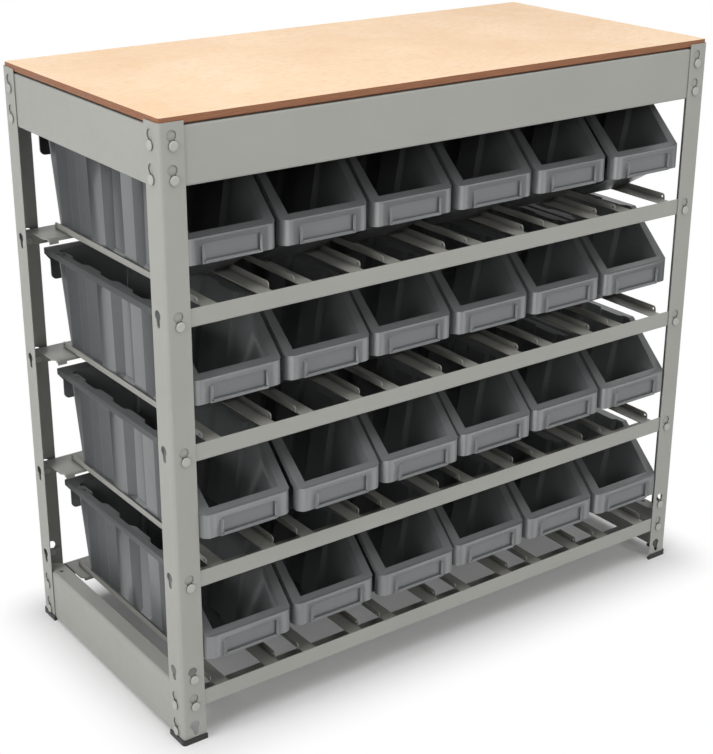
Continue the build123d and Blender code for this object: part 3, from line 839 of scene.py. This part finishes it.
def bin_mesh():
    """One bin about x = 0, its base on z = 0 and its front plate at PLATE_Y."""
    node = "bin_r1_c1"
    low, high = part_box(node)
    body = new_object("bin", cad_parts[node].data.copy())
    middle = Vector(((low.x + high.x) / 2, high.y - BIN_REAR * MM, low.z))
    body.data.transform(Matrix.Scale(1 / MM, 4) @ Matrix.Translation(-middle))
    body.data.materials.clear()
    body.data.materials.append(BIN_PLASTIC)
    body.data.materials.append(BIN_PAINTED_SHADE_GRAIN)
    shape = bmesh.new()
    shape.from_mesh(body.data)
    bmesh.ops.remove_doubles(shape, verts=shape.verts, dist=0.005)
    bmesh.ops.dissolve_limit(shape, angle_limit=math.radians(0.5), verts=shape.verts,
                             edges=shape.edges)
    shape.to_mesh(body.data)
    shape.free()

    for side in (-1, 1):
        for rear, long in BULGES:
            add(body, bulge(side, rear, long, BULGE_DEPTH))
        (near, far), (front, back) = PAD_X, PAD_Y
        pad = [(side * near, front), (side * far, front), (side * far, back),
               (side * near, back)]
        add(body, prism("z", pad, BIN_HEIGHT - WALL - 1.6, BIN_HEIGHT - 0.05))
    for side in (-1, 1):
        for rear, slope, flat, back in WIDE_FLUTES:
            cut(body, flute(side, rear, slope, flat, back, WIDE_DEPTH))
        for rear, width in SMALL_FLUTES:
            cut(body, flute(side, rear, width - 1.5, 0.2, 0.6, SMALL_DEPTH))
        near, far = RIM_HOLE_X
        cut(body, block(side * near, side * far, *RIM_HOLE_Y, BIN_HEIGHT - 8, BIN_HEIGHT + 1))
        groove = [(side * 55.5, 137.0), (side * 65.5, 137.0), (side * 65.5, 160.0),
                  (side * 64.3, 160.0), (side * 64.3, 138.2), (side * 55.5, 138.2)]
        cut(body, prism("z", groove, BIN_HEIGHT - 0.7, BIN_HEIGHT + 1))

    slope = []
    for z, front in ((SILL_Z + 1.5, -202.9), (LIP_Z + 16.0, -213.5)):
        half = wall(z, WALL)
        slope.append([(-half, front, z), (half, front, z), (half, -195.0, z),
                      (-half, -195.0, z)])
    cut(body, stacked(slope))
    inside = LABEL_HALF - LABEL_RIB
    cut(body, block(-inside, inside, PLATE_Y - 0.3, PLATE_Y + LABEL_DEEP, SILL_Z + LABEL_RIB,
                    SILL_Z + LABEL_HEIGHT))
    edge, foot, face = LABEL_HALF - 0.6, SILL_Z + 0.6, PLATE_Y - LABEL_PROUD
    add(body, block(-edge, edge, face + 0.02, face + 1.0, foot, SILL_Z + LABEL_RIB + 1.6))
    for side in (-1, 1):
        add(body, block(side * edge, side * (inside - 1.6), face + 0.02, face + 1.0, foot,
                        SILL_Z + LABEL_HEIGHT - 2.4))
    soften(body, BIN_EDGE, 2, 34)
    return body


one_bin = bin_mesh()
for row in range(1, ROWS + 1):
    for column in range(1, COLUMNS + 1):
        node = f"bin_r{row}_c{column}"
        low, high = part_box(node)
        middle = (low.x + high.x) / 2 / MM
        pushed = high.y / MM - RACK_Y - BIN_REAR
        copy = new_object("bin", one_bin.data.copy())
        place(copy, f"tub_r{row}_c{column}", BIN_PLASTIC, "bin_plastic", node, node,
              shift=(middle, pushed, low.z / MM))
bpy.data.objects.remove(one_bin)


# ---- floor, light -------------------------------------------------------
FLOOR_GLOW, WORLD_LIGHT = 0.02, 0.14
PAPER = (0.8, 0.8, 0.8, 1)
WHITE = (1, 1, 1, 1)
FLOOR_REACH = 9.0
FOOTPRINT = (0.45, 0.21, 0)
FADE_START, FADE_END = -0.02, 0.11       # metres outside the footprint
SOFT_BOXES = {
    "left soft box": ((-3.0, -0.4, 1.6), (1.6, 1.6), 50),
    "top soft box": ((-0.3, -0.3, 2.9), (2.2, 2.0), 44),
    "front soft box": ((0.2, -3.2, 1.6), (1.6, 1.6), 33),
    "right soft box": ((1.9, -1.25, 2.7), (1.5, 1.5), 10),
}
LIT_SPOT = (0, 0, 0.4)


def seen_directly(tree):
    """1 for camera, glossy and transmission rays, which see the plain studio."""
    path = tree.nodes.new("ShaderNodeLightPath")
    total = path.outputs["Is Camera Ray"]
    for name in ("Is Glossy Ray", "Is Transmission Ray"):
        both = tree.nodes.new("ShaderNodeMath")
        both.operation = "MAXIMUM"
        tree.links.new(total, both.inputs[0])
        tree.links.new(path.outputs[name], both.inputs[1])
        total = both.outputs[0]
    return total


def past_footprint(tree):
    """How far a spot on the floor lies outside the rack's footprint."""
    spot = tree.nodes.new("ShaderNodeTexCoord").outputs["Object"]
    reach = spot
    for kind, values in (("ABSOLUTE", None), ("SUBTRACT", FOOTPRINT),
                         ("MAXIMUM", (0, 0, 0)), ("LENGTH", None)):
        step = tree.nodes.new("ShaderNodeVectorMath")
        step.operation = kind
        tree.links.new(reach, step.inputs[0])
        if values:
            step.inputs[1].default_value = values
        reach = step.outputs["Value" if kind == "LENGTH" else "Vector"]
    return reach


def studio_floor():
    """Pale paper that keeps the rack's shadow and turns plain white further out."""
    mesh = bpy.data.meshes.new("floor")
    corners = [(x * FLOOR_REACH, y * FLOOR_REACH, 0)
               for x, y in ((-1, -1), (1, -1), (1, 1), (-1, 1))]
    mesh.from_pydata(corners, [], [(0, 1, 2, 3)])
    floor = new_object("floor", mesh)
    material = bpy.data.materials.new("floor paper")
    material.use_nodes = True
    tree = material.node_tree
    tree.nodes.clear()
    paper = tree.nodes.new("ShaderNodeBsdfDiffuse")
    paper.inputs["Color"].default_value = PAPER
    glow = tree.nodes.new("ShaderNodeEmission")
    faint = tree.nodes.new("ShaderNodeMath")
    faint.operation = "MULTIPLY"
    faint.inputs[1].default_value = FLOOR_GLOW
    tree.links.new(seen_directly(tree), faint.inputs[0])
    tree.links.new(faint.outputs[0], glow.inputs["Strength"])
    near = tree.nodes.new("ShaderNodeAddShader")
    tree.links.new(paper.outputs[0], near.inputs[0])
    tree.links.new(glow.outputs[0], near.inputs[1])
    plain = tree.nodes.new("ShaderNodeEmission")
    away = tree.nodes.new("ShaderNodeMapRange")
    away.interpolation_type = "SMOOTHSTEP"
    for index, number in ((1, FADE_START), (2, FADE_END), (3, 0.0), (4, 1.0)):
        away.inputs[index].default_value = number
    tree.links.new(past_footprint(tree), away.inputs[0])
    seen = tree.nodes.new("ShaderNodeMath")
    seen.operation = "MULTIPLY"
    tree.links.new(away.outputs[0], seen.inputs[0])
    tree.links.new(seen_directly(tree), seen.inputs[1])
    mix = tree.nodes.new("ShaderNodeMixShader")
    tree.links.new(seen.outputs[0], mix.inputs[0])
    tree.links.new(near.outputs[0], mix.inputs[1])
    tree.links.new(plain.outputs[0], mix.inputs[2])
    out = tree.nodes.new("ShaderNodeOutputMaterial")
    tree.links.new(mix.outputs[0], out.inputs["Surface"])
    mesh.materials.append(material)


def studio_world():
    """Even light from all sides, with a white backdrop for what sees it directly."""
    world = bpy.data.worlds.new("studio")
    bpy.context.scene.world = world
    world.use_nodes = True
    tree = world.node_tree
    light = tree.nodes["Background"]
    light.inputs["Color"].default_value = WHITE
    light.inputs["Strength"].default_value = WORLD_LIGHT
    backdrop = tree.nodes.new("ShaderNodeBackground")
    backdrop.inputs["Color"].default_value = WHITE
    backdrop.inputs["Strength"].default_value = 1.0
    mix = tree.nodes.new("ShaderNodeMixShader")
    tree.links.new(seen_directly(tree), mix.inputs[0])
    tree.links.new(light.outputs[0], mix.inputs[1])
    tree.links.new(backdrop.outputs[0], mix.inputs[2])
    tree.links.new(mix.outputs[0], tree.nodes["World Output"].inputs["Surface"])


def soft_box(name, spot, size, power):
    """A lamp with a soft edge, aimed at the rack."""
    data = bpy.data.lights.new(name, "AREA")
    data.shape, data.size, data.size_y, data.energy = "RECTANGLE", size[0], size[1], power
    lamp = bpy.data.objects.new(name, data)
    turn = (Vector(LIT_SPOT) - Vector(spot)).to_track_quat("-Z", "Y")
    lamp.matrix_world = Matrix.Translation(spot) @ turn.to_matrix().to_4x4()
    bpy.context.scene.collection.objects.link(lamp)


studio_floor()
studio_world()
for name, (spot, size, power) in SOFT_BOXES.items():
    soft_box(name, spot, size, power)
